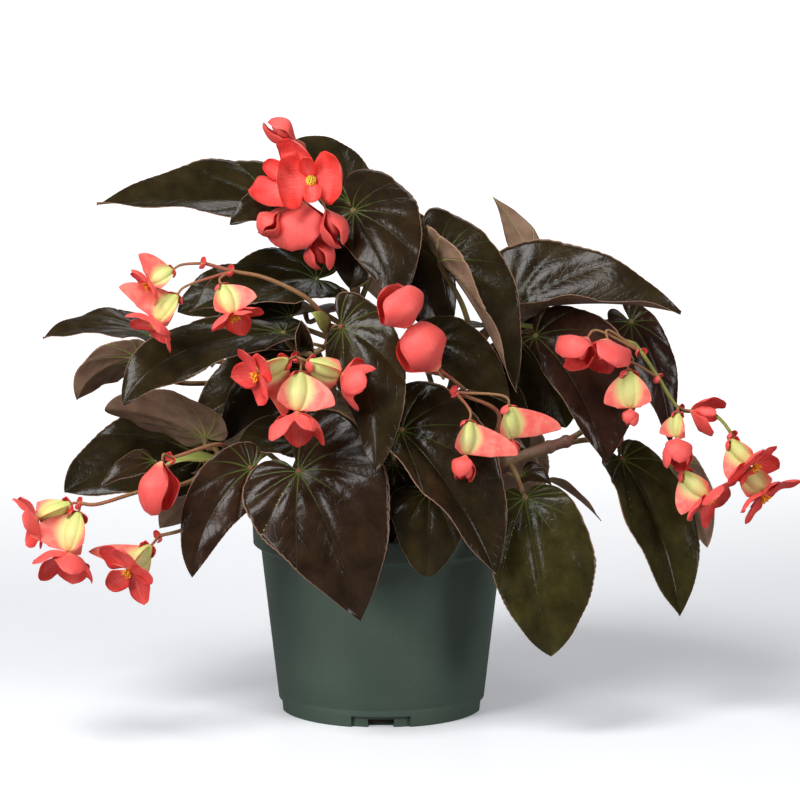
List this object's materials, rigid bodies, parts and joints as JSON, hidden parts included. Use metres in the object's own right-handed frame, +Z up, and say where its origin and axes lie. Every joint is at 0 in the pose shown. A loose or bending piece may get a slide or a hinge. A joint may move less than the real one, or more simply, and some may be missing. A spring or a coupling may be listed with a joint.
{
  "type": "potted begonia",
  "caption": "Potted flowering begonia with large dark bronze leaves and drooping sprays of coral blooms, in a green-grey plastic nursery pot.",
  "frame": {"origin": "on the floor under the middle of the pot's base", "axes": "+Z up the pot's axis, +X to the right and -Y towards the viewer of the pictured side"},
  "size_m": [0.4797, 0.2839, 0.3807],
  "materials": {
    "pot": "matte dark green-grey injection-moulded plastic, finely scuffed",
    "soil": "crumbly dark brown potting mix of bark and peat",
    "stem": "fleshy green to red-brown canes and petioles, satin",
    "leaf": "near-black bronze upper face with a waxy sheen, brown-purple underneath",
    "bloom": "soft coral tepals, yellow stamens and pale green-yellow ovaries"
  },
  "bodies": {
    "root": {"pot": "pot", "soil": "soil", "cane_back": "stem", "cane_left": "stem", "cane_low_left": "stem", "cane_low_right": "stem", "cane_right": "stem", "leaf_top_left": "leaf", "leaf_top_small": "leaf", "leaf_top_back": "leaf", "leaf_top_middle": "leaf", "leaf_middle_small": "leaf", "leaf_upper_left": "leaf", "leaf_left_behind": "leaf", "leaf_left_long": "leaf", "leaf_far_left": "leaf", "leaf_left_turned": "leaf", "leaf_left_under": "leaf", "leaf_left_round": "leaf", "leaf_left_lilac": "leaf", "leaf_low_left": "leaf", "leaf_front": "leaf", "leaf_front_left": "leaf", "leaf_middle_hanging": "leaf", "leaf_front_right": "leaf", "leaf_low_right": "leaf", "leaf_rim": "leaf", "leaf_upper_right": "leaf", "leaf_right_long": "leaf", "leaf_right_hanging": "leaf", "leaf_right_behind": "leaf", "leaf_middle_right": "leaf", "leaf_far_right": "leaf", "leaf_right_inner": "leaf", "leaf_right_under": "leaf", "leaf_inner_left": "leaf", "leaf_inner_low": "leaf", "leaf_back_left": "leaf", "leaf_back_top": "leaf", "leaf_back_right": "leaf", "leaf_back_low_right": "leaf", "leaf_back_low": "leaf", "leaf_back_low_left": "leaf", "leaf_middle_back": "leaf", "leaf_front_inner": "leaf", "leaf_inner_middle": "leaf", "leaf_inner_right": "leaf", "spray_top": "bloom", "spray_left": "bloom", "spray_middle_left": "bloom", "spray_far_left": "bloom", "spray_low_left": "bloom", "spray_left_closed": "bloom", "spray_middle": "bloom", "spray_right_winged": "bloom", "spray_right": "bloom"}
  },
  "joints": []
}
